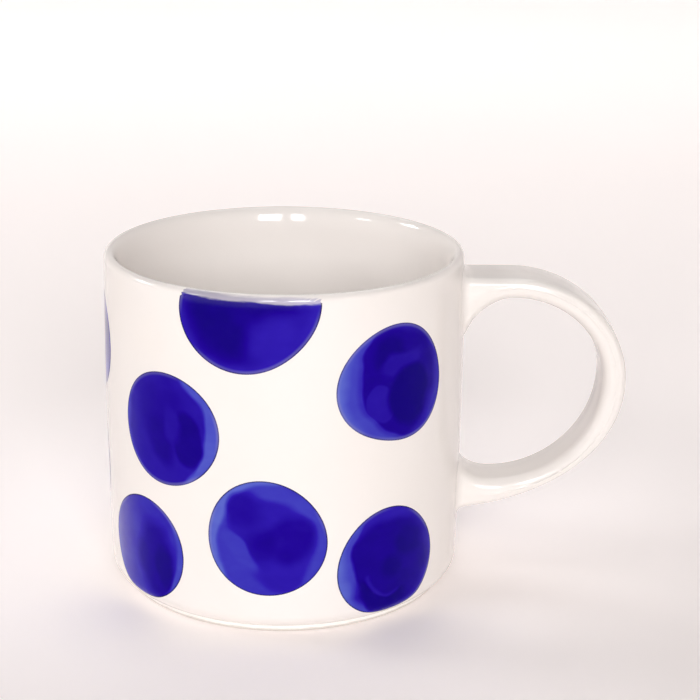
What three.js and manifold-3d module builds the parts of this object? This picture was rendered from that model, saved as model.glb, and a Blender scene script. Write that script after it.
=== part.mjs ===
// A straight-sided stoneware mug with a strap handle and hand-brushed cobalt spots.
// Millimetres, +Z up. The mug stands on its foot ring at z = 0, and the handle points along +X.
// Everything is drawn about the cup's own axis, and the last group moves the footprint's centre
// to the origin.
import * as THREE from "three";
import { mergeVertices } from "three/addons/utils/BufferGeometryUtils.js";
import Module from "manifold-3d";

const wasm = await Module();
wasm.setup();

// Cup
const CUP_HEIGHT = 80.7;
const RIM_RADIUS = 42.4; // outside, just under the lip
const BASE_RADIUS = 42.2; // outside, just above the foot
const BELLY = 0.45; // how far the wall swells past a straight line, at half height
const LIP_RADIUS = 1.45; // the lip's crest and outer side
const LIP_INNER_REACH = 2.2; // the lip's inner side eases in and down to the wall over these
const LIP_INNER_DROP = 6.2;
const WALL_AT_FLOOR = 4.2;
const FLOOR_TOP = 6.6;
const FLOOR_CORNER = 7; // inside radius between wall and floor
const HEEL_RADIUS = 4.2; // outside radius between wall and underside

// Foot ring
const FOOT_RADIUS = 39;
const FOOT_WIDTH = 3.4;
const FOOT_HEIGHT = 1.5; // down from the underside at the heel
const FOOT_CHAMFER = 0.5;
const RECESS_HEIGHT = 1.9; // the underside inside the ring

// Handle: reaches are distances from the cup's axis, the rest are heights above the table
const STRAP_OUTSIDE = { top: 75.1, reach: 81.4, reachHeight: 49.5, bottom: 17 };
const STRAP_INSIDE = { top: 70.2, reach: 75.9, reachHeight: 50, bottom: 24.3 };
const STRAP_LEVEL_REACH = 54; // the strap runs level from the upper root to here
const ROOT_REACH = 43; // where both roots meet the wall
const UPPER_ROOT_UNDERSIDE = 62; // the finger side flares down to the wall here
const LOWER_ROOT_TOP = 27.2; // and up to the wall here
const LOWER_FLARE_REACH = 50;
const LOWER_ROOT_SLOPE = 0.13; // rise of the strap's underside as it leaves the lower root
const LOOP_ROUNDNESS = 0.55; // how full the loop's quarter turns are
const STRAP_TOP_WIDTH = 15.2;
const STRAP_BOTTOM_WIDTH = 13.6;
const STRAP_EDGE = 1.6; // rounding of the strap's long edges

// Joints and paint
const ROOT_DEPTH = 3; // how far a cutter or a root is drawn past the wall's surface
const SLIP_THICKNESS = 1;
const SLIP_SPREAD = 1.1; // how far the slip squeezes out round the handle's root
const CLEARANCE = 0.3; // between wall, slip and handle
const PAINT_THICKNESS = 0.2;
const PAINT_CLEARANCE = 0.1;
const SPOT_SAGITTA = 6; // the wall falls away by less than this across the widest spot
const LIP_STEPS_UNDER_CREST = 2; // paint that stops short of the crest covers this much of the lip

// Fineness of the solids
const TURN_STEPS = 72; // shared by everything turned about the axis, so that facets stay parallel
const ARC_STEPS = 5;
const WALL_STEPS = 5;
const OUTLINE_STEPS = 32;
const LOOP_STEPS = 9;
const EDGE_STEPS = 3;

const LIP_CENTRE = new THREE.Vector2(RIM_RADIUS - LIP_RADIUS, CUP_HEIGHT - LIP_RADIUS);
const HEEL_CENTRE = new THREE.Vector2(BASE_RADIUS - HEEL_RADIUS, FOOT_HEIGHT + HEEL_RADIUS);

// ---- Shared shape helpers ----

// Points on an arc about a centre, from one angle to another in degrees.
function arc(centre, radius, from, to, steps = ARC_STEPS) {
  return Array.from({ length: steps + 1 }, (_, i) => {
    const angle = THREE.MathUtils.degToRad(THREE.MathUtils.lerp(from, to, i / steps));
    return new THREE.Vector2(
      centre.x + radius * Math.cos(angle),
      centre.y + radius * Math.sin(angle),
    );
  });
}

// The wall's outside radius between heel and lip: a straight taper with a slight swell.
function wallRadius(height) {
  const share = (height - HEEL_CENTRE.y) / (LIP_CENTRE.y - HEEL_CENTRE.y);
  return THREE.MathUtils.lerp(BASE_RADIUS, RIM_RADIUS, share) + 4 * BELLY * share * (1 - share);
}

// The outside of the cup from the underside of the heel to the crest of the lip, or to fewer
// steps of the lip's arc, moved out.
function outsideProfile(offset = 0, lipSteps = ARC_STEPS) {
  const wall = Array.from({ length: WALL_STEPS - 1 }, (_, i) => {
    const height = THREE.MathUtils.lerp(HEEL_CENTRE.y, LIP_CENTRE.y, (i + 1) / WALL_STEPS);
    return new THREE.Vector2(wallRadius(height) + offset, height);
  });
  return [
    ...arc(HEEL_CENTRE, HEEL_RADIUS + offset, -90, 0),
    ...wall,
    ...arc(LIP_CENTRE, LIP_RADIUS + offset, 0, 90).slice(0, lipSteps + 1),
  ];
}

// A profile of (radius, height) points turned about the Z axis.
function turned(profile) {
  return new THREE.LatheGeometry(profile, TURN_STEPS).rotateX(Math.PI / 2);
}

// A block with the wall's surface well inside it: a shape across Y and Z, extruded along X.
function blockThroughWall(shape) {
  const inner = BASE_RADIUS - SPOT_SAGITTA - ROOT_DEPTH;
  const acrossYZ = new THREE.Matrix4().makeBasis(
    new THREE.Vector3(0, 1, 0),
    new THREE.Vector3(0, 0, 1),
    new THREE.Vector3(1, 0, 0),
  );
  return new THREE.ExtrudeGeometry(shape, {
    depth: RIM_RADIUS + ROOT_DEPTH - inner,
    bevelEnabled: false,
  })
    .translate(0, 0, inner)
    .applyMatrix4(acrossYZ);
}

// A closed geometry as a manifold-3d solid.
function toSolid(geometry) {
  geometry.deleteAttribute("normal");
  geometry.deleteAttribute("uv");
  const merged = mergeVertices(geometry);
  return new wasm.Manifold(
    new wasm.Mesh({
      numProp: 3,
      vertProperties: merged.attributes.position.array,
      triVerts: new Uint32Array(merged.index.array),
    }),
  );
}

// A manifold-3d solid as a geometry with flat-shaded faces.
function toGeometry(solid) {
  const mesh = solid.getMesh();
  const geometry = new THREE.BufferGeometry();
  geometry.setAttribute("position", new THREE.BufferAttribute(mesh.vertProperties, 3));
  geometry.setIndex(new THREE.BufferAttribute(mesh.triVerts, 1));
  geometry.computeVertexNormals();
  return geometry;
}

function namedMesh(name, geometry, material) {
  const mesh = new THREE.Mesh(geometry, material);
  mesh.name = name;
  return mesh;
}

// ---- Materials ----

const whiteGlaze = () =>
  new THREE.MeshStandardMaterial({ color: 0xf3eee6, roughness: 0.12, metalness: 0 });

const glazedSlip = () =>
  new THREE.MeshStandardMaterial({ color: 0xf1ebe2, roughness: 0.16, metalness: 0 });

const cobaltPaint = () =>
  new THREE.MeshStandardMaterial({ color: 0x2516a0, roughness: 0.12, metalness: 0 });

// ---- Cup body: wall, floor and foot ring, one piece of clay ----

function footProfile() {
  const outer = FOOT_RADIUS;
  const inner = FOOT_RADIUS - FOOT_WIDTH;
  return [
    new THREE.Vector2(0, RECESS_HEIGHT),
    new THREE.Vector2(inner - RECESS_HEIGHT, RECESS_HEIGHT),
    new THREE.Vector2(inner, FOOT_CHAMFER),
    new THREE.Vector2(inner + FOOT_CHAMFER, 0),
    new THREE.Vector2(outer - FOOT_CHAMFER, 0),
    new THREE.Vector2(outer, FOOT_CHAMFER),
    new THREE.Vector2(outer, FOOT_HEIGHT),
  ];
}

// The lip's inner side, a quarter of an ellipse from the crest down to the inner wall.
function lipInside() {
  return arc(new THREE.Vector2(), 1, 90, 180)
    .slice(1)
    .map(
      ({ x, y }) =>
        new THREE.Vector2(
          LIP_CENTRE.x + LIP_INNER_REACH * x,
          CUP_HEIGHT - LIP_INNER_DROP * (1 - y),
        ),
    );
}

// The inside from the lip's crest down to the axis.
function insideProfile() {
  const corner = new THREE.Vector2(
    BASE_RADIUS - WALL_AT_FLOOR - FLOOR_CORNER,
    FLOOR_TOP + FLOOR_CORNER,
  );
  return [
    ...lipInside(),
    ...arc(corner, FLOOR_CORNER, 0, -90),
    new THREE.Vector2(0, FLOOR_TOP),
  ];
}

function cupBody() {
  // The heel's arc ends inside the foot ring's outer face, so its first point is left out.
  const heelAndWall = outsideProfile().filter((point) => point.x > FOOT_RADIUS);
  return turned([...footProfile(), ...heelAndWall, ...insideProfile()]);
}

// ---- Handle: a flat strap bent into a loop, cut to the wall at both roots ----

// The loop's side view: the outer edge from the upper root round to the lower one, then back
// along the finger side, which flares out over the lower root and under the upper one.
function handleOutline() {
  const { top, reach, reachHeight, bottom } = STRAP_OUTSIDE;
  const inside = STRAP_INSIDE;
  const rootEnd = BASE_RADIUS - ROOT_DEPTH;
  const part = (from, to) => THREE.MathUtils.lerp(from, to, LOOP_ROUNDNESS);
  const turnIn = part(ROOT_REACH, reach);
  const outline = new THREE.Shape();
  outline.moveTo(rootEnd, top);
  outline.lineTo(STRAP_LEVEL_REACH, top);
  outline.bezierCurveTo(
    part(STRAP_LEVEL_REACH, reach), top,
    reach, part(reachHeight, top),
    reach, reachHeight,
  );
  outline.bezierCurveTo(
    reach, part(reachHeight, bottom),
    turnIn, bottom + LOWER_ROOT_SLOPE * (turnIn - ROOT_REACH),
    ROOT_REACH, bottom,
  );
  outline.lineTo(rootEnd, bottom - LOWER_ROOT_SLOPE * (ROOT_REACH - rootEnd));
  outline.lineTo(rootEnd, LOWER_ROOT_TOP);
  outline.lineTo(ROOT_REACH, LOWER_ROOT_TOP);
  outline.quadraticCurveTo(
    part(LOWER_FLARE_REACH, ROOT_REACH), inside.bottom,
    LOWER_FLARE_REACH, inside.bottom,
  );
  outline.bezierCurveTo(
    part(LOWER_FLARE_REACH, inside.reach), inside.bottom,
    inside.reach, part(inside.reachHeight, inside.bottom),
    inside.reach, inside.reachHeight,
  );
  outline.bezierCurveTo(
    inside.reach, part(inside.reachHeight, inside.top),
    part(STRAP_LEVEL_REACH, inside.reach), inside.top,
    STRAP_LEVEL_REACH, inside.top,
  );
  outline.quadraticCurveTo(
    part(STRAP_LEVEL_REACH, ROOT_REACH), inside.top,
    ROOT_REACH, UPPER_ROOT_UNDERSIDE,
  );
  outline.lineTo(rootEnd, UPPER_ROOT_UNDERSIDE - ROOT_DEPTH);
  return outline;
}

// The strap is a little wider at the top of the loop than at the bottom.
function taperWidth(geometry) {
  const position = geometry.attributes.position;
  for (let i = 0; i < position.count; i++) {
    const share = THREE.MathUtils.inverseLerp(
      STRAP_OUTSIDE.bottom, STRAP_OUTSIDE.top,
      position.getZ(i),
    );
    const width = THREE.MathUtils.lerp(STRAP_BOTTOM_WIDTH, STRAP_TOP_WIDTH, share);
    position.setY(i, (position.getY(i) * width) / STRAP_TOP_WIDTH);
  }
  return geometry;
}

// A solid of everything inside the cup's outside, moved out.
function cupEnvelope(offset) {
  return toSolid(
    turned([
      new THREE.Vector2(0, FOOT_HEIGHT - offset),
      ...outsideProfile(offset),
      new THREE.Vector2(0, CUP_HEIGHT + offset),
    ]),
  );
}

function handle() {
  const strap = new THREE.ExtrudeGeometry(handleOutline(), {
    depth: STRAP_TOP_WIDTH - 2 * STRAP_EDGE,
    curveSegments: LOOP_STEPS,
    bevelSize: STRAP_EDGE,
    bevelThickness: STRAP_EDGE,
    bevelOffset: -STRAP_EDGE,
    bevelSegments: EDGE_STEPS,
  })
    .translate(0, 0, STRAP_EDGE - STRAP_TOP_WIDTH / 2)
    .rotateX(Math.PI / 2);
  const cup = cupEnvelope(SLIP_THICKNESS + 2 * CLEARANCE);
  return toGeometry(toSolid(taperWidth(strap)).subtract(cup));
}

// ---- Slip joints: the liquid clay between each root of the handle and the wall ----

function roundedRectangle(centreHeight, halfWidth, halfHeight, corner) {
  const signs = [
    [1, 1],
    [-1, 1],
    [-1, -1],
    [1, -1],
  ];
  const points = signs.flatMap(([side, end], quarter) => {
    const centre = new THREE.Vector2(
      side * (halfWidth - corner),
      centreHeight + end * (halfHeight - corner),
    );
    return arc(centre, corner, 90 * quarter, 90 * (quarter + 1));
  });
  return new THREE.Shape(points);
}

// A pad of slip that follows the wall and spreads a little past the root, whose lowest and
// highest edges and width are given.
function slipJoint(low, high, width) {
  const pad = roundedRectangle(
    (low + high) / 2,
    width / 2 + SLIP_SPREAD,
    (high - low) / 2 + SLIP_SPREAD,
    STRAP_EDGE + SLIP_SPREAD,
  );
  const outer = cupEnvelope(CLEARANCE + SLIP_THICKNESS);
  const inner = cupEnvelope(CLEARANCE);
  return toGeometry(toSolid(blockThroughWall(pad)).intersect(outer).subtract(inner));
}

// ---- Cobalt spots: thin brushed patches that follow the wall and, at the rim, the lip ----

// A hand-drawn outline: a circle drawn out both ways by oval and to one side by point, which are
// pairs of a share of the size and a direction in degrees from the level.
function spotOutline({ height, size, oval = [0, 0], point = [0, 0] }) {
  const points = Array.from({ length: OUTLINE_STEPS }, (_, i) => {
    const angle = (2 * Math.PI * i) / OUTLINE_STEPS;
    const wave = (times, [amount, direction]) =>
      amount * Math.cos(times * (angle - THREE.MathUtils.degToRad(direction)));
    const radius = size * (1 + wave(2, oval) + wave(3, point));
    // Distance along the curved wall becomes distance across the flat cutter.
    const across = RIM_RADIUS * Math.sin((radius * Math.cos(angle)) / RIM_RADIUS);
    return new THREE.Vector2(across, height + radius * Math.sin(angle));
  });
  return new THREE.Shape(points);
}

function skinOverCup(lipSteps) {
  const outer = outsideProfile(PAINT_CLEARANCE + PAINT_THICKNESS, lipSteps);
  const inner = outsideProfile(PAINT_CLEARANCE, lipSteps).reverse();
  return toSolid(turned([...outer, ...inner, outer[0]]));
}

const skinToCrest = skinOverCup(ARC_STEPS);
const skinUnderCrest = skinOverCup(LIP_STEPS_UNDER_CREST);

function cobaltSpot(spot) {
  const cutter = blockThroughWall(spotOutline(spot));
  cutter.rotateZ(THREE.MathUtils.degToRad(spot.angle - 90));
  const skin = spot.overLip ? skinToCrest : skinUnderCrest;
  return toGeometry(skin.intersect(toSolid(cutter)));
}

// Angles run from the front, -Y, towards the handle at 90 degrees and on round the back.
const SPOTS = [
  {
    name: "rim_front", angle: -9.2, height: 76.8, size: 14.45,
    oval: [0.11, 16], point: [0.034, 38], overLip: true,
  },
  {
    name: "upper_right", angle: 37.2, height: 58.4, size: 14.1,
    oval: [0.052, -18], point: [0.031, -43],
  },
  {
    name: "middle_left", angle: -36.8, height: 47.4, size: 13.4,
    oval: [0.02, 18], point: [0.008, 5],
  },
  {
    name: "lower_front", angle: -4, height: 24.3, size: 13.6,
    oval: [0.026, -62], point: [0.019, -18],
  },
  {
    name: "lower_left", angle: -49, height: 16.1, size: 12.9,
    oval: [0.048, 29], point: [0.018, -44],
  },
  {
    name: "lower_right", angle: 36.2, height: 15.6, size: 13.4,
    oval: [0.03, -23], point: [0.033, -25],
  },
  { name: "side_upper", angle: -84.8, height: 60.3, size: 11.9 },
  { name: "side_lower", angle: -90.5, height: 29, size: 10.4 },
  {
    name: "back_upper_right", angle: 121, height: 61, size: 13.1,
    oval: [0.03, 70], point: [0.02, 30],
  },
  { name: "back_lower_right", angle: 124, height: 22, size: 12.3, point: [0.03, -30] },
  {
    name: "back_middle", angle: 159, height: 43, size: 13.4,
    oval: [0.035, -15], point: [0.025, 50],
  },
  { name: "rim_back", angle: 163, height: 78, size: 14, point: [0.02, 20] },
  {
    name: "back_lower", angle: 194, height: 17.5, size: 12.6,
    oval: [0.02, 80], point: [0.02, -10],
  },
  {
    name: "back_upper_left", angle: 200, height: 58, size: 12.9,
    oval: [0.03, 5], point: [0.035, -35],
  },
  {
    name: "back_lower_left", angle: 233, height: 33, size: 12.7,
    oval: [0.03, 60], point: [0.02, 15],
  },
  { name: "rim_back_left", angle: 238, height: 77, size: 13.4, point: [0.02, 45] },
];

// ---- The mug ----

const mug = new THREE.Group();
mug.position.x = (RIM_RADIUS + BELLY - STRAP_OUTSIDE.reach) / 2;

mug.add(namedMesh("cup_body", cupBody(), whiteGlaze()));
mug.add(namedMesh("handle", handle(), whiteGlaze()));
mug.add(
  namedMesh(
    "upper_slip_joint",
    slipJoint(UPPER_ROOT_UNDERSIDE, STRAP_OUTSIDE.top, STRAP_TOP_WIDTH),
    glazedSlip(),
  ),
);
mug.add(
  namedMesh(
    "lower_slip_joint",
    slipJoint(STRAP_OUTSIDE.bottom, LOWER_ROOT_TOP, STRAP_BOTTOM_WIDTH),
    glazedSlip(),
  ),
);
for (const spot of SPOTS) {
  mug.add(namedMesh(`cobalt_spot_${spot.name}`, cobaltSpot(spot), cobaltPaint()));
}

export default mug;
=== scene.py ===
# A glazed stoneware mug with brushed cobalt spots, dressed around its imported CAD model.
# Shapes are worked out in millimetres about the cup's own axis, with heights above the table,
# and in_frame() turns them into metres in the row frame.
import math

import bmesh
import bpy
import numpy as np
from mathutils import Matrix, Vector, noise


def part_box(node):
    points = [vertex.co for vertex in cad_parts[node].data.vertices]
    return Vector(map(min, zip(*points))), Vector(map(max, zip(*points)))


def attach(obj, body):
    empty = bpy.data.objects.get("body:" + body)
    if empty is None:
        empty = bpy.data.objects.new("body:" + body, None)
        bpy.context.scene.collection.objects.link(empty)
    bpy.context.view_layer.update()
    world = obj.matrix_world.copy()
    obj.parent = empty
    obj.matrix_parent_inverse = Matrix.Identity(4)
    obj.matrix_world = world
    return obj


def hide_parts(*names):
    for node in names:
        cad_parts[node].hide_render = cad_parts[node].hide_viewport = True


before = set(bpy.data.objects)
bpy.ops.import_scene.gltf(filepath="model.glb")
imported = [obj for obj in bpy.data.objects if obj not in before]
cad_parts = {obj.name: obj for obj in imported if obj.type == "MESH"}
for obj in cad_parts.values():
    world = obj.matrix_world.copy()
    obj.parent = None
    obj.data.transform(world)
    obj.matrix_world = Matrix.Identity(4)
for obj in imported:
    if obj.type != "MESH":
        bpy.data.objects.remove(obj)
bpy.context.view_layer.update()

MM = 0.001
CUP_LOW, CUP_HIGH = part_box("cup_body")
AXIS = Vector(((CUP_LOW.x + CUP_HIGH.x) / 2, (CUP_LOW.y + CUP_HIGH.y) / 2, 0))

# Cup
CUP_HEIGHT = CUP_HIGH.z / MM
RIM_RADIUS = 42.4
BASE_RADIUS = 42.2
BELLY = 0.45  # how far the wall swells past a straight line, at half height
LIP_RADIUS = 1.45  # the lip's crest and outer side
LIP_INNER_REACH = 2.2  # the lip's inner side eases in and down to the wall over these
LIP_INNER_DROP = 6.2
WALL_AT_FLOOR = 4.2
FLOOR_TOP = 6.6
FLOOR_CORNER = 7
HEEL_RADIUS = 4.2
FOOT_RADIUS = 39
FOOT_WIDTH = 3.4
FOOT_HEIGHT = 1.5
FOOT_EDGE = 0.6
RECESS_HEIGHT = 1.9

# Handle: reaches are distances from the cup's axis
STRAP_OUTSIDE = {"top": 75.1, "reach": 81.4, "reach_height": 49.5, "bottom": 17}
STRAP_INSIDE = {"top": 70.2, "reach": 75.9, "reach_height": 50, "bottom": 24.3}
STRAP_LEVEL_REACH = 54
ROOT_REACH = 43
UPPER_ROOT_UNDERSIDE = 62
LOWER_ROOT_TOP = 27.2
LOWER_FLARE_REACH = 50
LOWER_ROOT_SLOPE = 0.13
LOOP_ROUNDNESS = 0.55
STRAP_TOP_WIDTH = 15.2
STRAP_BOTTOM_WIDTH = 13.6
STRAP_OUTER_EDGE = 1.8  # rounding of the strap's outer long edges
STRAP_INNER_EDGE = 2.6
STRAP_CROWN = 0.18  # how far the strap's faces swell
ROOT_FILLET = 1.8
ROOT_SINK = 0.5  # how far the roots run into the wall
BEND_END = 9  # nearer the wall than this, the strap bends to follow it

# Surface that a hand has finished
UNEVEN_HEIGHT = 0.05
UNEVEN_LENGTH = 21
OVAL_HEIGHT = 0.08  # how far the cup is out of round
OVAL_TURN = 0.7  # radians
STEADY_FROM = 1.9  # the foot is true up to here, so that the mug stands firm
STEADY_TO = 6

# Paint
PAINT_LIFT = 0.05
PAINT_SINK = 0.04
PAINT_EDGE = 0.5  # the paint thins out over this width
PAINT_BLEED = 0.22  # how far its dark outline runs out past the painted shape

# Fineness
CUP_STEPS = 288
WALL_STEPS = 48
ARC_STEPS = 14
EDGE_STEPS = 6  # round the foot ring's small edges
JOINING = 0.2  # how far from its end one stretch of rings hands over to the next
STRAP_CORNER_STEPS = 8
STRAP_FACE_STEPS = 7
FILLET_STEPS = 8
ROOT_END_SHARES = (0.3, 0.6, 0.85)  # a root's sunk end closes in on its middle by these
HALVINGS = 40  # in a search for a point on a curve
SPOT_STEPS = 128
FINE_SPOT_STEPS = 8 * SPOT_STEPS  # for measuring how far in a point lies
SPOT_RINGS = (24, 1.5)  # how many, and how strongly they crowd towards the edge
RIM_SPOT_RINGS = (48, 1.7)

# Camera, on the front side and a little above the rim, with its turns in degrees
CAMERA_LENS = 91.33
CAMERA_PLACE = Vector((11.15, -405.79, 186.5))
CAMERA_YAW = -0.635
CAMERA_PITCH = -17.925
CAMERA_ROLL = -0.666

BEND_REACH = STRAP_LEVEL_REACH + 4  # past here the strap is clear of the wall at any height
WALL_AT_ROOTS = BASE_RADIUS + BELLY / 2
LIP_HEIGHT = CUP_HEIGHT - LIP_RADIUS
LIP_REACH = RIM_RADIUS - LIP_RADIUS
HEEL_HEIGHT = FOOT_HEIGHT + HEEL_RADIUS
HEEL_REACH = BASE_RADIUS - HEEL_RADIUS
CREST_RUN = LIP_HEIGHT + LIP_RADIUS * math.pi / 2

# The painted spots, about points on the wall. Angles run from the front, -Y, towards the handle at
# 90 degrees and on round the back. oval and point are how strongly an outline is drawn out both
# ways and to one side, each with its direction in degrees from the level. over is how far past
# the lip's crest the paint runs. brush is a kind of brushwork, and turn how many degrees it is
# turned round on the spot.
SPOTS = [
    {"name": "rim_front", "angle": -9.2, "height": 76.8, "size": 14.45, "oval": (0.11, 16),
     "point": (0.034, 38), "over": 1.0, "brush": "washed", "turn": 0},
    {"name": "upper_right", "angle": 37.2, "height": 58.4, "size": 14.1, "oval": (0.052, -18),
     "point": (0.031, -43), "brush": "swirled", "turn": 0},
    {"name": "middle_left", "angle": -36.8, "height": 47.4, "size": 13.4, "oval": (0.02, 18),
     "point": (0.008, 5), "brush": "edged", "turn": 0},
    {"name": "lower_front", "angle": -4, "height": 24.3, "size": 13.6, "oval": (0.026, -62),
     "point": (0.019, -18), "brush": "folded", "turn": 0},
    {"name": "lower_left", "angle": -49, "height": 16.1, "size": 12.9, "oval": (0.048, 29),
     "point": (0.018, -44), "brush": "veiled", "turn": 0},
    {"name": "lower_right", "angle": 36.2, "height": 15.6, "size": 13.4, "oval": (0.03, -23),
     "point": (0.033, -25), "brush": "ringed", "turn": 0},
    {"name": "side_upper", "angle": -84.8, "height": 60.3, "size": 11.9, "brush": "veiled", "turn": 60},
    {"name": "side_lower", "angle": -90.5, "height": 29, "size": 10.4, "brush": "edged", "turn": 90},
    {"name": "back_upper_right", "angle": 121, "height": 61, "size": 13.1, "oval": (0.03, 70),
     "point": (0.02, 30), "brush": "folded", "turn": 120},
    {"name": "back_lower_right", "angle": 124, "height": 22, "size": 12.3,
     "point": (0.03, -30), "brush": "edged", "turn": -60},
    {"name": "back_middle", "angle": 159, "height": 43, "size": 13.4, "oval": (0.035, -15),
     "point": (0.025, 50), "brush": "ringed", "turn": 100},
    {"name": "rim_back", "angle": 163, "height": 78, "size": 14,
     "point": (0.02, 20), "brush": "washed", "turn": 20},
    {"name": "back_lower", "angle": 194, "height": 17.5, "size": 12.6, "oval": (0.02, 80),
     "point": (0.02, -10), "brush": "swirled", "turn": -80},
    {"name": "back_upper_left", "angle": 200, "height": 58, "size": 12.9, "oval": (0.03, 5),
     "point": (0.035, -35), "brush": "edged", "turn": 200},
    {"name": "back_lower_left", "angle": 233, "height": 33, "size": 12.7, "oval": (0.03, 60),
     "point": (0.02, 15), "brush": "folded", "turn": -40},
    {"name": "rim_back_left", "angle": 238, "height": 77, "size": 13.4,
     "point": (0.02, 45), "brush": "ringed", "turn": 150},
]
RIM_GAP = 1.35  # a spot that stays outside the lip ends this far short of its crest
SEED_STEP = 3.7  # sets each spot's clouds and unsteady strokes apart from the next one's


# ---- Shape helpers ----

def lerp(start, end, share):
    return start + (end - start) * share


def smooth_step(low, high, value):
    share = min(1.0, max(0.0, (value - low) / (high - low)))
    return share * share * (3 - 2 * share)


def in_frame(point):
    return AXIS + Vector(point) * MM


def bezier(points, share):
    """A point on a Bezier curve of any degree, as (reach, height)."""
    while len(points) > 1:
        points = [Vector(a).lerp(Vector(b), share) for a, b in zip(points, points[1:])]
    return points[0]


def skin(name, rings, attributes=()):
    """A closed, smooth piece through rings of points. A ring of one point is a pole.

    attributes are (name, rings of values), where a value is a number or a vector per point.
    """
    shape = bmesh.new()
    rows = [[shape.verts.new(in_frame(point)) for point in ring] for ring in rings]
    for low, high in zip(rows, rows[1:]):
        count = max(len(low), len(high))
        for i in range(count):
            j = (i + 1) % count
            corners = [low[i % len(low)], low[j % len(low)], high[j % len(high)], high[i % len(high)]]
            shape.faces.new(list(dict.fromkeys(corners))).smooth = True
    bmesh.ops.recalc_face_normals(shape, faces=shape.faces)
    mesh = bpy.data.meshes.new(name)
    shape.to_mesh(mesh)
    shape.free()
    for label, values in attributes:
        write_attribute(mesh, label, [value for ring in values for value in ring])
    piece = bpy.data.objects.new(name, mesh)
    bpy.context.scene.collection.objects.link(piece)
    return piece


def write_attribute(mesh, label, values):
    flat = np.array(values, np.float32)
    is_vector = flat.ndim == 2
    layer = mesh.attributes.new(label, "FLOAT_VECTOR" if is_vector else "FLOAT", "POINT")
    layer.data.foreach_set("vector" if is_vector else "value", flat.ravel())


# ---- The cup's surface, which the paint and the handle's roots follow ----

def wall_radius(height):
    share = (height - HEEL_HEIGHT) / (LIP_HEIGHT - HEEL_HEIGHT)
    return lerp(BASE_RADIUS, RIM_RADIUS, share) + 4 * BELLY * share * (1 - share)


def wall_lean(height):
    """How far the wall's normal tips up from level, in radians."""
    share = (height - HEEL_HEIGHT) / (LIP_HEIGHT - HEEL_HEIGHT)
    rise = RIM_RADIUS - BASE_RADIUS + 4 * BELLY * (1 - 2 * share)
    return -math.atan(rise / (LIP_HEIGHT - HEEL_HEIGHT))


def on_arc(reach, height, radius, angle):
    """(radius, height, normal's reach, normal's rise) on a round of the profile."""
    across, up = math.cos(angle), math.sin(angle)
    return reach + radius * across, height + radius * up, across, up


def outside(run):
    """The cup's outside at a height up the wall, carried on round the heel and over the lip."""
    low_lean, high_lean = wall_lean(HEEL_HEIGHT), wall_lean(LIP_HEIGHT)
    if run < HEEL_HEIGHT + HEEL_RADIUS * low_lean:
        return on_arc(HEEL_REACH, HEEL_HEIGHT, HEEL_RADIUS, (run - HEEL_HEIGHT) / HEEL_RADIUS)
    if run > CREST_RUN:
        return lip_inside((run - CREST_RUN) / LIP_INNER_REACH)
    if run > LIP_HEIGHT + LIP_RADIUS * high_lean:
        return on_arc(LIP_REACH, LIP_HEIGHT, LIP_RADIUS, (run - LIP_HEIGHT) / LIP_RADIUS)
    lean = wall_lean(run)
    return wall_radius(run), run, math.cos(lean), math.sin(lean)


def lip_inside(angle):
    """The lip's inner side, a quarter of an ellipse from the crest, at 0, to the inner wall."""
    across = LIP_INNER_REACH * math.sin(angle)
    down = LIP_INNER_DROP * (1 - math.cos(angle))
    normal = Vector((-LIP_INNER_DROP * math.sin(angle), LIP_INNER_REACH * math.cos(angle))).normalized()
    return LIP_REACH - across, CUP_HEIGHT - down, normal.x, normal.y


def uneven(x, y, z, level):
    """How far the finished surface stands off the true one. level is 1 where it faces sideways."""
    steady = smooth_step(STEADY_FROM, STEADY_TO, z)
    swell = noise.noise(Vector((x, y, z)) / UNEVEN_LENGTH)
    oval = math.cos(2 * math.atan2(x, -y) + OVAL_TURN) * level * level
    return steady * (UNEVEN_HEIGHT * swell + OVAL_HEIGHT * oval)


def turned_point(section, angle, lift=0.0):
    """A point of the cup's surface: section is (radius, height, normal's reach and rise)."""
    radius, height, across, up = section
    x, y = math.sin(angle), -math.cos(angle)
    off = lift + uneven(radius * x, radius * y, height, across)
    radius += off * across
    return radius * x, radius * y, height + off * up


# ---- Cup ----

def straight(start, end, steps):
    """Points between two (radius, height) points, without the ends, with their normal."""
    start, end = Vector(start), Vector(end)
    along = (end - start).normalized()
    return [(*start.lerp(end, i / steps), along.y, -along.x) for i in range(1, steps)]


def turn_of(reach, height, radius, start, end, steps=ARC_STEPS):
    """An arc of the profile, from one angle to another in degrees, with its normals."""
    angles = [math.radians(lerp(start, end, i / steps)) for i in range(steps + 1)]
    return [on_arc(reach, height, radius, angle) for angle in angles]


def foot_profile():
    """From the middle of the underside out over the foot ring."""
    inner = FOOT_RADIUS - FOOT_WIDTH
    recess = inner - 2 * RECESS_HEIGHT
    edge = FOOT_EDGE
    hollow = turn_of(inner - edge, RECESS_HEIGHT - edge, edge, 90, 0, EDGE_STEPS)
    hollow = [(x, z, -across, -up) for x, z, across, up in hollow]
    heel_turn = math.acos((FOOT_RADIUS - HEEL_REACH) / HEEL_RADIUS)
    meet = HEEL_HEIGHT - HEEL_RADIUS * math.sin(heel_turn)
    return (
        [(0.0, RECESS_HEIGHT, 0.0, -1.0)]
        + straight((0, RECESS_HEIGHT), (recess, RECESS_HEIGHT), 16)
        + straight((recess, RECESS_HEIGHT), (inner - edge, RECESS_HEIGHT), 4)
        + hollow
        + turn_of(inner + edge, edge, edge, 180, 270, EDGE_STEPS)
        + straight((inner + edge, 0), (FOOT_RADIUS - edge, 0), 5)
        + turn_of(FOOT_RADIUS - edge, edge, edge, -90, 0, EDGE_STEPS)
        + straight((FOOT_RADIUS, edge), (FOOT_RADIUS, meet), 3)
    )


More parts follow.
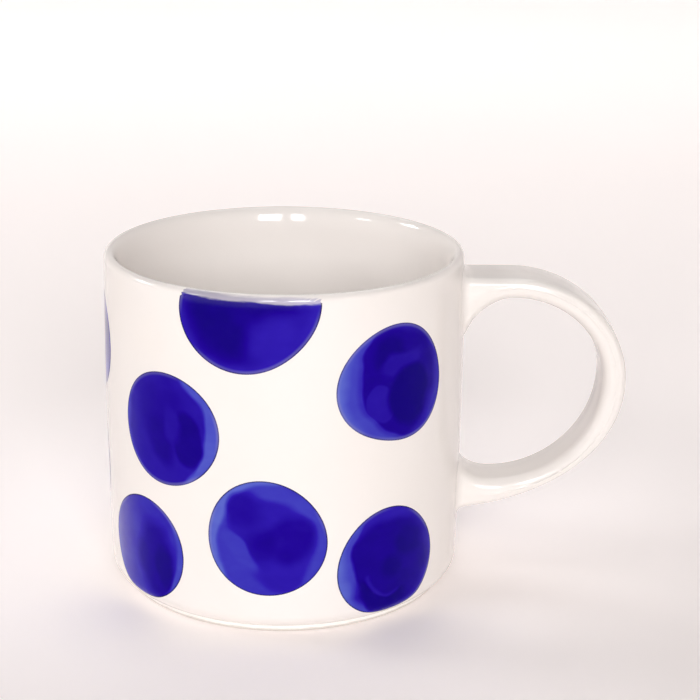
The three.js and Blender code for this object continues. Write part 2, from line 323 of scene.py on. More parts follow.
def cup_profile():
    """The whole section, from the middle of the underside to the middle of the floor."""
    first = HEEL_HEIGHT - HEEL_RADIUS * math.acos((FOOT_RADIUS - HEEL_REACH) / HEEL_RADIUS)
    low, top = HEEL_HEIGHT - JOINING, LIP_HEIGHT - JOINING
    heel = [outside(lerp(first, low, i / ARC_STEPS)) for i in range(ARC_STEPS)]
    wall = [outside(lerp(low, top, i / WALL_STEPS)) for i in range(WALL_STEPS)]
    lip = [outside(lerp(top, CREST_RUN, i / ARC_STEPS)) for i in range(ARC_STEPS)]
    inner_lip = [lip_inside(math.pi / 2 * i / ARC_STEPS) for i in range(ARC_STEPS)]
    corner_reach = BASE_RADIUS - WALL_AT_FLOOR - FLOOR_CORNER
    corner_height = FLOOR_TOP + FLOOR_CORNER
    corner = turn_of(corner_reach, corner_height, FLOOR_CORNER, 0, -90)
    corner = [(x, z, -across, -up) for x, z, across, up in corner]
    inner_top = (LIP_REACH - LIP_INNER_REACH, CUP_HEIGHT - LIP_INNER_DROP)
    inside = [(*inner_top, -1.0, 0.0)]
    inside += straight(inner_top, (corner[0][0], corner[0][1]), WALL_STEPS)
    floor = straight((corner_reach, FLOOR_TOP), (0, FLOOR_TOP), 20)
    centre = [(0.0, FLOOR_TOP, 0.0, 1.0)]
    return foot_profile() + heel + wall + lip + inner_lip + inside + corner + floor + centre


def cup():
    rings = []
    for section in cup_profile():
        count = CUP_STEPS if section[0] > 0 else 1
        turn = 2 * math.pi / count
        rings.append([turned_point(section, turn * i) for i in range(count)])
    return skin("cup", rings)


# ---- Handle ----

def part(start, end):
    return lerp(start, end, LOOP_ROUNDNESS)


def upper_edges(share):
    """Outer and finger-side points of the level stretch, from the upper root outwards."""
    top = STRAP_INSIDE["top"]
    flare = [
        (ROOT_REACH, UPPER_ROOT_UNDERSIDE),
        (part(STRAP_LEVEL_REACH, ROOT_REACH), top),
        (STRAP_LEVEL_REACH, top),
    ]
    inner = bezier(flare, share)
    return Vector((inner.x, STRAP_OUTSIDE["top"])), inner


def shoulder_edges(share):
    """The quarter turn from the level stretch down to the loop's farthest point."""
    curves = []
    for edge in (STRAP_OUTSIDE, STRAP_INSIDE):
        points = [
            (STRAP_LEVEL_REACH, edge["top"]),
            (part(STRAP_LEVEL_REACH, edge["reach"]), edge["top"]),
            (edge["reach"], part(edge["reach_height"], edge["top"])),
            (edge["reach"], edge["reach_height"]),
        ]
        curves.append(bezier(points, share))
    return curves


def underside(share):
    """The strap's outer edge from the loop's farthest point round to the lower root."""
    edge = STRAP_OUTSIDE
    turn_in = part(ROOT_REACH, edge["reach"])
    points = [
        (edge["reach"], edge["reach_height"]),
        (edge["reach"], part(edge["reach_height"], edge["bottom"])),
        (turn_in, edge["bottom"] + LOWER_ROOT_SLOPE * (turn_in - ROOT_REACH)),
        (ROOT_REACH, edge["bottom"]),
    ]
    return bezier(points, share)


def underside_at(reach):
    """The same edge's point at a reach, found by halving."""
    low, high = 0.0, 1.0
    for _ in range(HALVINGS):
        middle = (low + high) / 2
        low, high = (middle, high) if underside(middle).x > reach else (low, middle)
    return low


def lower_edges(share):
    """The quarter turn from the loop's farthest point in to where the lower root flares."""
    edge = STRAP_INSIDE
    points = [
        (edge["reach"], edge["reach_height"]),
        (edge["reach"], part(edge["reach_height"], edge["bottom"])),
        (part(LOWER_FLARE_REACH, edge["reach"]), edge["bottom"]),
        (LOWER_FLARE_REACH, edge["bottom"]),
    ]
    return underside(share * underside_at(LOWER_FLARE_REACH)), bezier(points, share)


def root_edges(share):
    """The lower root's flare, from the strap in to the wall."""
    bottom = STRAP_INSIDE["bottom"]
    flare = [
        (LOWER_FLARE_REACH, bottom),
        (part(LOWER_FLARE_REACH, ROOT_REACH), bottom),
        (ROOT_REACH, LOWER_ROOT_TOP),
    ]
    inner = bezier(flare, share)
    return underside(underside_at(inner.x)), inner


def strap_stations():
    """Pairs of outer and finger-side points all round the loop, root to root."""
    stretches = [(upper_edges, 24), (shoulder_edges, 48), (lower_edges, 56), (root_edges, 16)]
    stations = []
    for edges, steps in stretches:
        stations += [edges(i / steps) for i in range(steps)]
    return stations + [root_edges(1)]


def strap_section(width, thickness, spread):
    """Points round the strap's section, as (across, out from its finger side).

    spread grows the section all round, as a fillet does.
    """
    half = width / 2
    corners = [
        (half, thickness, STRAP_OUTER_EDGE, 0),
        (-half, thickness, STRAP_OUTER_EDGE, 90),
        (-half, 0, STRAP_INNER_EDGE, 180),
        (half, 0, STRAP_INNER_EDGE, 270),
    ]
    outline = []
    for side, out, radius, start in corners:
        centre = Vector((side - math.copysign(radius, side), radius if out == 0 else out - radius))
        for i in range(STRAP_CORNER_STEPS + 1):
            angle = math.radians(start + 90 * i / STRAP_CORNER_STEPS)
            outline.append(centre + (radius + spread) * Vector((math.cos(angle), math.sin(angle))))
    points = []
    for i, start in enumerate(outline):
        points.append(start)
        if i % (STRAP_CORNER_STEPS + 1) == STRAP_CORNER_STEPS:
            points += crowned_face(start, outline[(i + 1) % len(outline)])
    return points


def crowned_face(start, end):
    """Points across one swelled face of the strap, between its two corners."""
    crown = STRAP_CROWN * Vector(((end - start).y, -(end - start).x)).normalized()
    points = []
    for i in range(1, STRAP_FACE_STEPS):
        share = i / STRAP_FACE_STEPS
        points.append(start.lerp(end, share) + crown * math.sin(math.pi * share) ** 2)
    return points


def wall_reach(y, z):
    """How far from the axis plane the cup's wall is, beside the handle's middle line."""
    x = math.sqrt(wall_radius(z) ** 2 - y * y)
    radius = wall_radius(z) + uneven(x, y, z, 1)
    return math.sqrt(radius * radius - y * y)


def strap_ring(outer, inner, off_wall=None, spread=0.0):
    """One ring of the handle. Near the wall the ring bends to follow it."""
    middle = (outer + inner) / 2
    share = (middle.y - STRAP_OUTSIDE["bottom"]) / (STRAP_OUTSIDE["top"] - STRAP_OUTSIDE["bottom"])
    width = lerp(STRAP_BOTTOM_WIDTH, STRAP_TOP_WIDTH, share)
    out = (outer - inner).normalized()
    ring = []
    for across, depth in strap_section(width, (outer - inner).length, spread):
        point = inner + out * depth
        if off_wall is None:
            off = point.x - wall_reach(0, point.y) if point.x < BEND_REACH else BEND_END
            follow = 1 - smooth_step(ROOT_FILLET, BEND_END, off)
        else:
            off, follow = off_wall, 1
        near = wall_reach(across, point.y) + off if follow > 0 else 0
        ring.append((lerp(point.x, near, follow), across, point.y))
    return ring


def root_rings(edges_at):
    """The fillet from the strap on to the wall, and the end sunk in it, from the strap inwards."""
    rings = []
    for i in range(FILLET_STEPS + 1):
        turn = math.pi / 2 * i / FILLET_STEPS
        off = ROOT_FILLET * (1 - math.sin(turn))
        spread = ROOT_FILLET * (1 - math.cos(turn))
        outer, inner = edges_at(WALL_AT_ROOTS + off)
        rings.append(strap_ring(outer, inner, off, spread))
    end = strap_ring(outer, inner, -ROOT_SINK, ROOT_FILLET)
    middle = Vector(end[0]).lerp(Vector(end[len(end) // 2]), 0.5)
    rings.append(end)
    for share in ROOT_END_SHARES:
        rings.append([Vector(point).lerp(middle, share) for point in end])
    return rings + [[middle]]


def edges_at_reach(edges, reach):
    """The pair of points of a stretch at a reach from the axis, found by halving."""
    low, high = 0.0, 1.0
    rising = edges(1)[1].x > edges(0)[1].x
    for _ in range(HALVINGS):
        middle = (low + high) / 2
        beyond = edges(middle)[1].x > reach
        low, high = (low, middle) if beyond == rising else (middle, high)
    return edges(low)


def handle():
    clear = WALL_AT_ROOTS + ROOT_FILLET + JOINING
    stations = [pair for pair in strap_stations() if pair[1].x > clear]
    strap = [strap_ring(outer, inner) for outer, inner in stations]
    upper = root_rings(lambda reach: edges_at_reach(upper_edges, reach))
    lower = root_rings(lambda reach: edges_at_reach(root_edges, reach))
    return skin("handle_strap", upper[::-1] + strap + lower)


# ---- Cobalt spots ----

def spot_outline(spot, steps):
    """Points round a spot as (across, up) from its centre along the wall."""
    angles = np.arange(steps) * 2 * math.pi / steps
    radii = np.ones(steps)
    for waves, key in ((2, "oval"), (3, "point")):
        amount, direction = spot.get(key, (0, 0))
        radii += amount * np.cos(waves * (angles - math.radians(direction)))
    radii = radii * spot["size"] + PAINT_BLEED
    return np.stack([radii * np.cos(angles), radii * np.sin(angles)], 1)


def spot_layers(is_rim):
    """A skin's rings, as (share of the way out, is on top): out on top and back, sparser, below."""
    steps, crowding = RIM_SPOT_RINGS if is_rim else SPOT_RINGS
    shares = [1 - (1 - i / steps) ** crowding for i in range(steps)]
    under = [1.0] + shares[:0:-3]
    return [(share, True) for share in shares] + [(share, False) for share in under + [0.0]]


def spot_ring(spot, flat, gaps, share, is_top):
    """One ring of a spot's skin on the wall. gaps are its points' distances from the outline."""
    ring = []
    for (across, up), gap in zip(flat, gaps):
        lift = PAINT_LIFT * smooth_step(0, PAINT_EDGE, gap) if is_top else -PAINT_SINK
        lift = lift if share < 1 else -PAINT_SINK / 2
        angle = math.radians(spot["angle"]) + across / RIM_RADIUS
        ring.append(turned_point(outside(spot["height"] + up), angle, lift))
    return ring


def brush_places(spot, flat, seed):
    """Where points lie in the spot's brushwork, in units of its size."""
    turn = math.radians(spot["turn"])
    spin = np.array([[math.cos(turn), math.sin(turn)], [-math.sin(turn), math.cos(turn)]])
    return [(u, v, seed) for u, v in flat @ spin.T / spot["size"]]


def climbs_of(spot, flat):
    """How high over the lip's crest points lie, and how far to the right in units of its size."""
    heights = flat[:, 1] + spot["height"] - CREST_RUN
    return [(height, across / spot["size"], 0) for height, across in zip(heights, flat[:, 0])]


def cobalt_spot(spot, seed):
    """A spot's thin skin, with what its paint needs to know at each point."""
    limit = CREST_RUN + spot.get("over", -RIM_GAP) - spot["height"]
    outline = spot_outline(spot, SPOT_STEPS)
    fine = spot_outline(spot, FINE_SPOT_STEPS)
    painted = fine[fine[:, 1] < limit]
    is_rim = len(painted) < len(fine)
    outline[:, 1] = np.minimum(outline[:, 1], limit)
    middle = np.array([0.0, (outline[:, 1].max() + outline[:, 1].min()) / 2])
    rings, strokes, edges, climbs = [], [], [], []
    for share, is_top in spot_layers(is_rim):
        flat = middle + (outline - middle) * share if share > 0 else middle[None, :]
        gaps = np.sqrt(((flat[:, None, :] - painted[None, :, :]) ** 2).sum(2)).min(1)
        rings.append(spot_ring(spot, flat, gaps, share, is_top))
        strokes.append(brush_places(spot, flat, seed))
        edges.append(list(gaps))
        climbs.append(climbs_of(spot, flat))
    layers = [("stroke", strokes), ("edge", edges), ("climb", climbs)]
    return skin("cobalt_" + spot["name"], rings, layers)


# ---- Materials ----

class Nodes:
    """Builds one node tree with short calls. An input may be a value or another node's output."""

    def __init__(self, tree):
        self.tree = tree
        tree.nodes.clear()

    def add(self, kind, settings=None, **inputs):
        node = self.tree.nodes.new(kind)
        for key, value in (settings or {}).items():
            setattr(node, key, value)
        for key, value in inputs.items():
            self.put(node.inputs[key.replace("_", " ")], value)
        return node

    def put(self, socket, value):
        if isinstance(value, bpy.types.NodeSocket):
            self.tree.links.new(value, socket)
        elif hasattr(value, "__len__") and len(value) == 3 and socket.type == "RGBA":
            socket.default_value = (*value, 1)
        else:
            socket.default_value = value

    def math(self, operation, *values):
        node = self.tree.nodes.new("ShaderNodeMath")
        node.operation = operation
        for socket, value in zip(node.inputs, values):
            self.put(socket, value)
        return node.outputs[0]

    def vector(self, operation, *values):
        node = self.tree.nodes.new("ShaderNodeVectorMath")
        node.operation = operation
        for socket, value in zip(node.inputs, values):
            self.put(socket, value)
        return node.outputs["Value" if operation == "LENGTH" else "Vector"]

    def ramp(self, value, start, end, low=0.0, high=1.0):
        """A smooth step from low to high as value goes from start to end."""
        settings = {"interpolation_type": "SMOOTHSTEP"}
        node = self.add("ShaderNodeMapRange", settings, Value=value)
        for key, number in (("From Min", start), ("From Max", end), ("To Min", low), ("To Max", high)):
            node.inputs[key].default_value = number
        return node.outputs["Result"]

    def mix(self, share, first, second):
        """A blend of two colours."""
        node = self.tree.nodes.new("ShaderNodeMix")
        node.data_type = "RGBA"
        self.put(node.inputs[0], share)
        self.put(node.inputs[6], first)
        self.put(node.inputs[7], second)
        return node.outputs[2]

    def blend(self, share, first, second):
        """The same between two numbers."""
        node = self.tree.nodes.new("ShaderNodeMix")
        for socket, value in ((0, share), (2, first), (3, second)):
            self.put(node.inputs[socket], value)
        return node.outputs[0]

    def noise(self, place, scale, detail, output="Fac"):
        node = self.add("ShaderNodeTexNoise", Vector=place, Scale=scale, Detail=detail)
        return node.outputs[output]

    def bump(self, height, distance, normal=None):
        node = self.add("ShaderNodeBump", Height=height, Distance=distance, Strength=1.0)
        if normal is not None:
            self.put(node.inputs["Normal"], normal)
        return node.outputs["Normal"]

    def surface(self, **inputs):
        shader = self.add("ShaderNodeBsdfPrincipled", **inputs)
        self.add("ShaderNodeOutputMaterial", Surface=shader.outputs[0])
        return shader


def new_material(name):
    material = bpy.data.materials.new(name)
    material.use_nodes = True
    return material, Nodes(material.node_tree)


# A pattern is a noise's scale and detail, and the glaze's and the clay's scales are per metre.
# A change is where a smooth ramp starts and ends, and what it gives there.
GLAZE_WHITE = (0.86, 0.822, 0.788)
GLAZE_WARM = (0.848, 0.804, 0.758)
WARM_PATTERN = (38, 3)
WARM_CHANGE = (0.4, 0.75, 0.0, 0.5)
PAINTED_LIGHT_INSIDE = (0.93, 0.885, 0.852)  # painted light: the glaze is lighter inside the cup, to brighten its inside
PAINTED_LIGHT_INSIDE_REACH = (41 * MM, 38 * MM)  # from the cup's axis, where it starts and is full
GLAZE_ROUGHNESS = 0.09
GLAZE_IOR = 1.5
GLAZE_SWELL = 0.06 * MM
SWELL_PATTERN = (75, 1)
GLAZE_PEEL = 0.002 * MM
PEEL_PATTERN = (900, 2)
RAW_CLAY = (0.73, 0.69, 0.64)
RAW_CLAY_DARK = [0.82 * c for c in RAW_CLAY]
CLAY_ROUGHNESS = 0.74
CLAY_GRAIN = 0.08 * MM
GRAIN_PATTERN = (1500, 4)
BARE_FOOT = (0.85 * MM, 0.6 * MM)  # the heights between which the glaze gives way to clay
BARE_FOOT_RAGGED = 0.3 * MM  # how far that line runs up and down
RAGGED_PATTERN = (260, 3)


def glaze_colour_and_inside_light(nodes, place):
    """White glaze over pale clay, faintly warmer where it lies thin, with painted light that makes it
    lighter inside the cup.
    """
    warm = nodes.ramp(nodes.noise(place, *WARM_PATTERN), *WARM_CHANGE)
    colour = nodes.mix(warm, GLAZE_WHITE, GLAZE_WARM)
    from_axis = nodes.vector("SUBTRACT", place, tuple(AXIS))
    reach = nodes.vector("LENGTH", nodes.vector("MULTIPLY", from_axis, (1, 1, 0)))
    # painted light: towards the axis the glaze turns lighter inside the cup
    return nodes.mix(nodes.ramp(reach, *PAINTED_LIGHT_INSIDE_REACH), colour, PAINTED_LIGHT_INSIDE)


def glaze_relief(nodes, place):
    """The slight swell and fine orange peel of a fired glaze."""
    swell = nodes.bump(nodes.noise(place, *SWELL_PATTERN), GLAZE_SWELL)
    return nodes.bump(nodes.noise(place, *PEEL_PATTERN), GLAZE_PEEL, swell)


def white_glaze():
    """The glaze of the cup and the handle, with bare clay where the foot ring stands."""
    material, nodes = new_material("white_glaze")
    place = nodes.add("ShaderNodeTexCoord").outputs["Object"]
    height = nodes.add("ShaderNodeSeparateXYZ", Vector=place).outputs["Z"]
    wander = nodes.noise(place, *RAGGED_PATTERN)
    ragged = nodes.math("MULTIPLY_ADD", wander, 2 * BARE_FOOT_RAGGED, -BARE_FOOT_RAGGED)
    bare = nodes.ramp(nodes.math("ADD", height, ragged), *BARE_FOOT)
    grain = nodes.noise(place, *GRAIN_PATTERN)
    clay = nodes.mix(grain, RAW_CLAY, RAW_CLAY_DARK)
    colour = nodes.mix(bare, glaze_colour_and_inside_light(nodes, place), clay)
    rough = nodes.blend(bare, GLAZE_ROUGHNESS, CLAY_ROUGHNESS)
    bare_grain = nodes.math("MULTIPLY", grain, bare)
    relief = nodes.bump(bare_grain, CLAY_GRAIN, glaze_relief(nodes, place))
    nodes.surface(Base_Color=colour, Roughness=rough, IOR=GLAZE_IOR, Normal=relief)
    return material


# Cobalt from where it pooled, at 0, to where the brush left it thinnest, at 1
COBALT_TONES = [
    (0.0, (0.0055, 0.0, 0.18)),
    (0.2, (0.0115, 0.0, 0.265)),
    (0.45, (0.024, 0.009, 0.375)),
    (0.7, (0.05, 0.052, 0.455)),
    (0.9, (0.10, 0.135, 0.54)),
    (1.0, (0.20, 0.23, 0.57)),
]
COBALT_CLOUD = 0.08  # how far the tone drifts up and down
CLOUD_PATTERN = (2.2, 2)
CLOUD_STRETCH = (1.0, 1.6, 1.0)
COBALT_ROUGHNESS = 0.07

# Changes of the specular level
RIM_SHINE = (-4, -1.5, 0.04, 0.6)  # with millimetres over the lip's crest
SLANT_SHINE = (0.42, 0.85, 0.04, 0.5)  # with how nearly edge-on the paint is seen

# The paint's border: how far in from the outline, in millimetres, each part starts and is full,
# and how its strength changes along it
BORDER_PATTERN = (0.9, 0)
COBALT_LINE = (0.01, 0.007, 0.035)
LINE_EDGE = (0.5, 0.15)
LINE_CHANGE = (0.42, 0.62, 0.85, 0.5)
COBALT_FRINGE = (0.30, 0.29, 0.44)
FRINGE_EDGE = (1.1, 0.35)
FRINGE_CHANGE = (0.42, 0.58, 0.0, 0.3)

# Where the paint runs out on the lip, in millimetres over its crest
PAINT_STOP = -2.85
PAINT_STREAK = 1.6  # how much farther its longest streaks reach
STREAK_PATTERN = (1.0, 3)
STREAK_STRETCH = (2.0, 9.0, 1.0)
PAINT_STOP_SLANT = -0.5  # how much lower it stops at a spot's right side than in its middle
PAINT_STOP_EDGE = (-0.4, 0.4)
WASH_CHANGE = (-1.7, -0.5, 0.0, 0.5)  # a thin wash goes on past the paint, and half covers

BRUSH_WANDER = 0.14  # how unsteadily a stroke's edge runs, in units of the spot's size
WANDER_PATTERN = (1.6, 1)

# How each kind of spot was brushed, in units of the spot's size: a tone to start with, then
# strokes laid one over another, as (kind, tone, middle, half sizes, tilt in degrees, softness).
# A "spot" stroke lies inside its ellipse, and a "round" one outside it.
BRUSHWORK = {
    "washed": [
        0.3,
        ("round", 0.5, (-0.05, 0.15), (1.05, 1.0), 0, 0.16),
        ("spot", 0.02, (-0.3, -0.05), (0.72, 0.62), -28, 0.35),
        ("spot", 0.1, (0.25, 0.0), (0.5, 0.28), 0, 0.3),
        ("spot", 0.42, (0.42, -0.4), (0.45, 0.32), 30, 0.6),
    ],
    "swirled": [
        0.18,
        ("round", 0.5, (-0.02, 0.02), (0.92, 0.93), 0, 0.12),
        ("round", 0.52, (0.34, 0.2), (1.0, 1.08), 0, 0.03),
        ("round", 0.68, (0.4, 0.14), (1.14, 1.12), 0, 0.05),
        ("round", 0.88, (0.36, 0.04), (1.28, 1.3), 0, 0.1),
        ("spot", 0.04, (-0.15, 0.5), (0.32, 0.26), 20, 0.35),
        ("spot", 0.34, (-0.28, -0.28), (0.24, 0.3), 10, 0.1),
        ("spot", 0.3, (0.1, 0.38), (0.42, 0.17), 12, 0.3),
        ("spot", 0.0, (0.28, -0.2), (0.42, 0.5), 8, 0.16),
    ],
    "edged": [
        0.34,
        ("spot", 0.22, (-0.05, 0.3), (0.5, 0.55), 15, 0.4),
        ("round", 0.62, (0.14, 0.04), (1.02, 1.1), 0, 0.08),
        ("round", 0.76, (-0.25, 0.0), (1.03, 1.1), -12, 0.05),
        ("spot", 0.08, (0.45, -0.12), (0.27, 0.45), 12, 0.16),
        ("spot", 0.15, (-0.12, -0.2), (0.26, 0.42), 25, 0.4),
        ("spot", 0.3, (0.12, 0.1), (0.16, 0.3), 12, 0.4),
    ],
    "folded": [
        0.39,
        ("round", 0.62, (-0.01, -0.15), (0.83, 0.84), -12, 0.1),
        ("spot", 0.26, (-0.42, 0.52), (0.34, 0.34), 25, 0.45),
        ("spot", 0.2, (0.4, -0.03), (0.4, 0.45), -20, 0.25),
        ("spot", 0.26, (-0.1, -0.12), (0.3, 0.3), 0, 0.6),
        ("round", 0.56, (0.5, 0.3), (1.1, 1.5), 35, 0.1),
        ("spot", 0.6, (-0.45, -0.22), (0.14, 0.42), 42, 0.3),
        ("round", 0.85, (0.18, -0.05), (1.01, 1.1), 0, 0.06),
        ("spot", 0.16, (0.0, -0.1), (0.16, 0.2), 0, 0.6),
    ],
    "veiled": [
        0.5,
        ("spot", 0.2, (0.36, -0.2), (0.45, 0.75), 8, 0.3),
        ("round", 0.7, (-0.14, 0.0), (1.02, 1.2), -10, 0.05),
        ("round", 0.76, (0.12, 0.0), (1.0, 1.2), 0, 0.15),
        ("spot", 0.06, (0.56, -0.25), (0.18, 0.4), 5, 0.4),
    ],
    "ringed": [
        0.16,
        ("round", 0.44, (-0.02, -0.08), (0.93, 0.9), 10, 0.14),
        ("round", 0.68, (0.3, 0.1), (1.05, 1.2), 0, 0.04),
        ("round", 0.85, (0.32, 0.05), (1.2, 1.4), 0, 0.1),
        ("spot", 0.06, (0.4, 0.28), (0.3, 0.24), -30, 0.35),
        ("spot", 0.03, (-0.15, -0.56), (0.55, 0.26), -20, 0.3),
        ("spot", 0.33, (-0.16, -0.42), (0.42, 0.17), -26, 0.15),
        ("spot", 0.14, (-0.02, -0.28), (0.45, 0.3), -20, 0.12),
        ("spot", 0.03, (0.06, -0.12), (0.22, 0.22), 0, 0.5),
    ],
}


def cobalt(brushwork):
    """Cobalt brushed in one of the kinds above, under the same glaze."""
    material, nodes = new_material("cobalt_" + brushwork)
    place = nodes.add("ShaderNodeTexCoord").outputs["Object"]
    stroke = nodes.add("ShaderNodeAttribute", {"attribute_name": "stroke"}).outputs["Vector"]
    edge = nodes.add("ShaderNodeAttribute", {"attribute_name": "edge"}).outputs["Fac"]
    climb = nodes.add("ShaderNodeAttribute", {"attribute_name": "climb"}).outputs["Vector"]
    tone = cobalt_tone(nodes, stroke, BRUSHWORK[brushwork])
    colour = cobalt_border(nodes, stroke, edge, cobalt_ramp(nodes, tone))
    cover = cobalt_cover(nodes, stroke, climb)
    colour = nodes.mix(cover, glaze_colour_and_inside_light(nodes, place), colour)
    relief = glaze_relief(nodes, place)
    shader = nodes.surface(
        Base_Color=colour, Roughness=COBALT_ROUGHNESS, IOR=GLAZE_IOR, Normal=relief
    )
    nodes.put(shader.inputs["Specular IOR Level"], cobalt_shine(nodes, climb))
    return material


def cobalt_shine(nodes, climb):
    """The paint shines on the lip and where it is seen aslant."""
    above = nodes.add("ShaderNodeSeparateXYZ", Vector=climb).outputs["X"]
    aslant = nodes.add("ShaderNodeLayerWeight", Blend=0.5).outputs["Facing"]
    return nodes.math("MAXIMUM", nodes.ramp(above, *RIM_SHINE), nodes.ramp(aslant, *SLANT_SHINE))


def cobalt_tone(nodes, stroke, brushwork):
    """0 where the paint is thickest, 1 where the brush left it thinnest."""
    sway = nodes.noise(stroke, *WANDER_PATTERN, "Color")
    sway = nodes.vector("SUBTRACT", sway, (0.5, 0.5, 0.5))
    wander = nodes.vector("MULTIPLY", sway, (2 * BRUSH_WANDER, 2 * BRUSH_WANDER, 0))
    parts = nodes.add("ShaderNodeSeparateXYZ", Vector=nodes.vector("ADD", stroke, wander))
    flat = nodes.add("ShaderNodeCombineXYZ", X=parts.outputs["X"], Y=parts.outputs["Y"]).outputs[0]
    tone = brushwork[0]
    for kind, target, middle, half, tilt, softness in brushwork[1:]:
        off = stroke_distance(nodes, flat, middle, half, tilt)
        ends = (1 - softness, 1 + softness) if kind == "round" else (1 + softness, 1 - softness)
        tone = nodes.blend(nodes.ramp(off, *ends), tone, target)
    cloud = nodes.noise(nodes.vector("MULTIPLY", stroke, CLOUD_STRETCH), *CLOUD_PATTERN)
    drift = nodes.math("MULTIPLY_ADD", cloud, 2 * COBALT_CLOUD, -COBALT_CLOUD)
    return nodes.math("ADD", tone, drift)


def stroke_distance(nodes, flat, middle, half, tilt):
    """1 on the stroke's edge, less inside it."""
    mapping = nodes.add("ShaderNodeMapping", {"vector_type": "TEXTURE"}, Vector=flat)
    mapping.inputs["Location"].default_value = (*middle, 0)
    mapping.inputs["Rotation"].default_value = (0, 0, math.radians(tilt))
    mapping.inputs["Scale"].default_value = (*half, 1)
    return nodes.vector("LENGTH", mapping.outputs[0])


def cobalt_ramp(nodes, tone):
    """The paint's colour at a tone."""
    ramp = nodes.add("ShaderNodeValToRGB", Fac=tone)
    elements = ramp.color_ramp.elements
    while len(elements) < len(COBALT_TONES):
        elements.new(0.5)
    for element, (position, colour) in zip(elements, COBALT_TONES):
        element.position = position
        element.color = (*colour, 1)
    return ramp.outputs["Color"]


def cobalt_border(nodes, stroke, edge, colour):
    """The thin dark line where the paint ends, and a paler fringe where the line is faint."""
    along = nodes.noise(stroke, *BORDER_PATTERN)
    pale = nodes.ramp(along, *FRINGE_CHANGE)
    dark = nodes.ramp(along, *LINE_CHANGE)
    fringe = nodes.math("MULTIPLY", nodes.ramp(edge, *FRINGE_EDGE), pale)
    line = nodes.math("MULTIPLY", nodes.ramp(edge, *LINE_EDGE), dark)
    return nodes.mix(line, nodes.mix(fringe, colour, COBALT_FRINGE), COBALT_LINE)


def cobalt_cover(nodes, stroke, climb):
    """How much the paint covers: it wears out in streaks as it runs over the lip."""
    parts = nodes.add("ShaderNodeSeparateXYZ", Vector=climb)
    streaks = nodes.noise(nodes.vector("MULTIPLY", stroke, STREAK_STRETCH), *STREAK_PATTERN)
    stop = nodes.math("MULTIPLY_ADD", streaks, PAINT_STREAK, PAINT_STOP)
    stop = nodes.math("MULTIPLY_ADD", parts.outputs["Y"], PAINT_STOP_SLANT, stop)
    below = nodes.math("SUBTRACT", stop, parts.outputs["X"])
    paint = nodes.ramp(below, *PAINT_STOP_EDGE)
    return nodes.math("MAXIMUM", paint, nodes.ramp(below, *WASH_CHANGE))


# Painted light: the table glows faintly near the mug and behind it, standing in for the room's light,
# and painted shade dims that glow at the foot.
FLOOR_COLOUR = (0.97, 0.915, 0.90)
FLOOR_COLOUR_DARK = [0.985 * c for c in FLOOR_COLOUR]
FLOOR_PATTERN = (5, 2)
NEAR_GLOW = 0.145
NEAR_GLOW_REACH = (0.065, 0.155)  # metres from the cup's axis, where it starts and ends fading
FOOT_SHADE = 0.7  # painted shade: the share of the glow that is left at the foot
FOOT_SHADE_REACH = (0.04, 0.07)
BACK_GLOW = 0.165
BACK_GLOW_REACH = (-0.07, 0.14)  # metres behind the mug, where it starts and is full


def pale_floor():
    material, nodes = new_material("pale_floor")
    place = nodes.add("ShaderNodeTexCoord").outputs["Object"]
    tone = nodes.ramp(nodes.noise(place, *FLOOR_PATTERN), 0.3, 0.7)
    colour = nodes.mix(tone, FLOOR_COLOUR, FLOOR_COLOUR_DARK)
    shader = nodes.surface(Base_Color=colour, Roughness=0.75, IOR=1.3)
    reach = nodes.vector("LENGTH", nodes.vector("SUBTRACT", place, tuple(AXIS)))
    near = nodes.ramp(reach, *NEAR_GLOW_REACH, NEAR_GLOW, 0.0)
    near = nodes.math("MULTIPLY", near, nodes.ramp(reach, *FOOT_SHADE_REACH, FOOT_SHADE, 1.0))
    depth = nodes.add("ShaderNodeSeparateXYZ", Vector=place).outputs["Y"]
    behind = nodes.ramp(depth, *BACK_GLOW_REACH, 0.0, BACK_GLOW)
    # painted light: the table glows near the mug and behind it, with painted shade at the foot
    nodes.put(shader.inputs["Emission Color"], FLOOR_COLOUR)
    nodes.put(shader.inputs["Emission Strength"], nodes.math("ADD", near, behind))
    return material


# ---- Floor, light and camera ----

FLOOR_FLAT = 1100  # the floor is flat out to here, then curves up into the backdrop
FLOOR_FLAT_STEPS = 10
FLOOR_CURVE = 900
FLOOR_CURVE_STEPS = 16
FLOOR_SIDES = 96
BACKDROP_TOP = 1500


def floor():
    """A wide floor whose far edge curves up all round, so that no horizon shows."""
    profile = [(FLOOR_FLAT * i / FLOOR_FLAT_STEPS, 0) for i in range(1, FLOOR_FLAT_STEPS + 1)]
    for i in range(1, FLOOR_CURVE_STEPS + 1):
        turn = math.pi / 2 * i / FLOOR_CURVE_STEPS
        reach = FLOOR_FLAT + FLOOR_CURVE * math.sin(turn)
        profile.append((reach, FLOOR_CURVE * (1 - math.cos(turn))))
    profile.append((FLOOR_FLAT + FLOOR_CURVE, BACKDROP_TOP))
    turns = [2 * math.pi * i / FLOOR_SIDES for i in range(FLOOR_SIDES)]
    rings = [[(0, 0, 0)]]
    for reach, height in profile:
        rings.append([(reach * math.cos(t), reach * math.sin(t), height) for t in turns])
    piece = skin("floor", rings)
    piece.data.materials.append(pale_floor())


def area_light(name, size, power):
    light = bpy.data.lights.new(name, "AREA")
    light.shape = "RECTANGLE"
    light.size, light.size_y = size
    light.energy = power
    lamp = bpy.data.objects.new(name, light)
    bpy.context.scene.collection.objects.link(lamp)
    return lamp


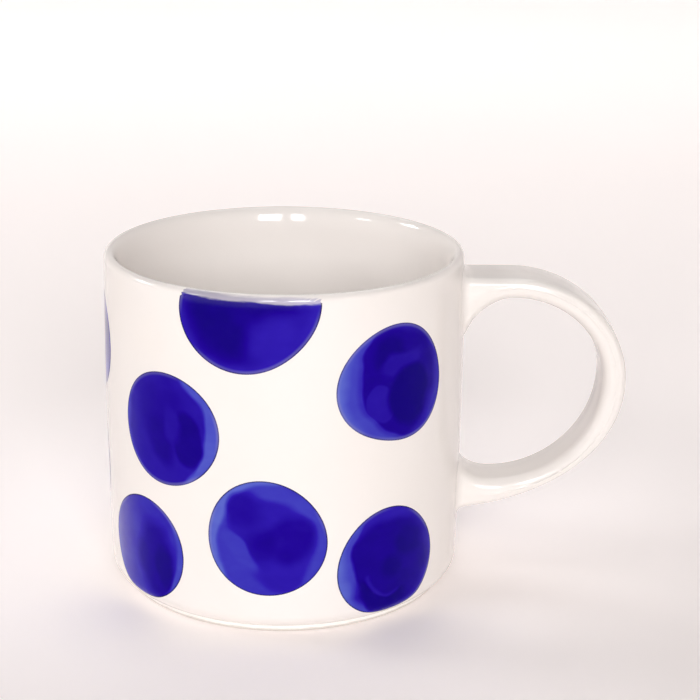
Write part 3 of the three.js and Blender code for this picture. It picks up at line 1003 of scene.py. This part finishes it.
# Soft lights that face the mug, as (azimuth, elevation, distance, (width, height), power), in
# degrees, metres and watts. Azimuth 0 is the front, and 90 the handle's side.
LIGHTS = {
    "window_left_pane": (-8, 21, 1.5, (0.22, 0.55), 5.1),
    "window_right_pane": (12, 21, 1.5, (0.4, 0.55), 8.9),
    "left_window": (-60, 26, 1.6, (0.3, 0.2), 1.6),
    "far_left_window": (-104, 28, 1.6, (0.4, 0.25), 4.8),
    "overhead": (0, 88, 1.7, (1.0, 1.0), 2.6),
    "back_softbox": (180, 50, 1.6, (1.0, 0.6), 4.7),
}
# The light on the table and the backdrop behind the mug, in the same units
BACKDROP_LIGHT = {"place": (0, 0.75, 0.8), "tilt": 45, "size": (1.8, 0.5), "power": 3.8}
SKY_COLOUR = (0.002, 0.002, 0.002)


def mug_light(name, azimuth, elevation, distance, size, power):
    a, e = math.radians(azimuth), math.radians(elevation)
    away = Vector((math.sin(a) * math.cos(e), -math.cos(a) * math.cos(e), math.sin(e)))
    lamp = area_light(name, size, power)
    lamp.location = in_frame((0, 0, CUP_HEIGHT / 2)) + away * distance
    lamp.rotation_euler = away.to_track_quat("Z", "Y").to_euler()


def lights():
    for name, values in LIGHTS.items():
        mug_light(name, *values)
    lamp = area_light("backdrop_light", BACKDROP_LIGHT["size"], BACKDROP_LIGHT["power"])
    lamp.location = BACKDROP_LIGHT["place"]
    lamp.rotation_euler = (math.radians(BACKDROP_LIGHT["tilt"]), 0, 0)


def sky():
    """A world so dim that the lights and the table's painted glow do all the work."""
    world = bpy.data.worlds.new("studio")
    bpy.context.scene.world = world
    world.use_nodes = True
    nodes = Nodes(world.node_tree)
    background = nodes.add("ShaderNodeBackground", Color=SKY_COLOUR)
    nodes.add("ShaderNodeOutputWorld", Surface=background.outputs[0])


def camera():
    data = bpy.data.cameras.new("camera")
    data.lens = CAMERA_LENS
    viewer = bpy.data.objects.new("camera", data)
    bpy.context.scene.collection.objects.link(viewer)
    turn = Matrix.Rotation(math.radians(CAMERA_YAW), 4, "Z")
    turn @= Matrix.Rotation(math.radians(CAMERA_PITCH), 4, "X")
    turn @= Matrix.Rotation(math.radians(CAMERA_ROLL), 4, "Y")
    level = Matrix.Rotation(math.pi / 2, 4, "X")
    viewer.matrix_world = Matrix.Translation(in_frame(CAMERA_PLACE)) @ turn @ level
    bpy.context.scene.camera = viewer


# ---- The mug ----

def finish_piece(piece, material, slot, *nodes):
    piece.data.materials.append(material)
    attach(piece, "root")
    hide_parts(*nodes)


def mug():
    """All the pieces. The glaze runs over the handle and its joints without a seam."""
    glaze = white_glaze()
    paints = {kind: cobalt(kind) for kind in BRUSHWORK}
    finish_piece(cup(), glaze, "glazed_stoneware", "cup_body")
    joints = ("upper_slip_joint", "lower_slip_joint")
    finish_piece(handle(), glaze, "glazed_stoneware", "handle", *joints)
    for i, spot in enumerate(SPOTS):
        node = "cobalt_spot_" + spot["name"]
        paint = paints[spot["brush"]]
        finish_piece(cobalt_spot(spot, SEED_STEP * i), paint, "cobalt_underglaze", node)


bpy.context.scene.view_settings.view_transform = "Standard"
camera()
mug()
floor()
lights()
sky()
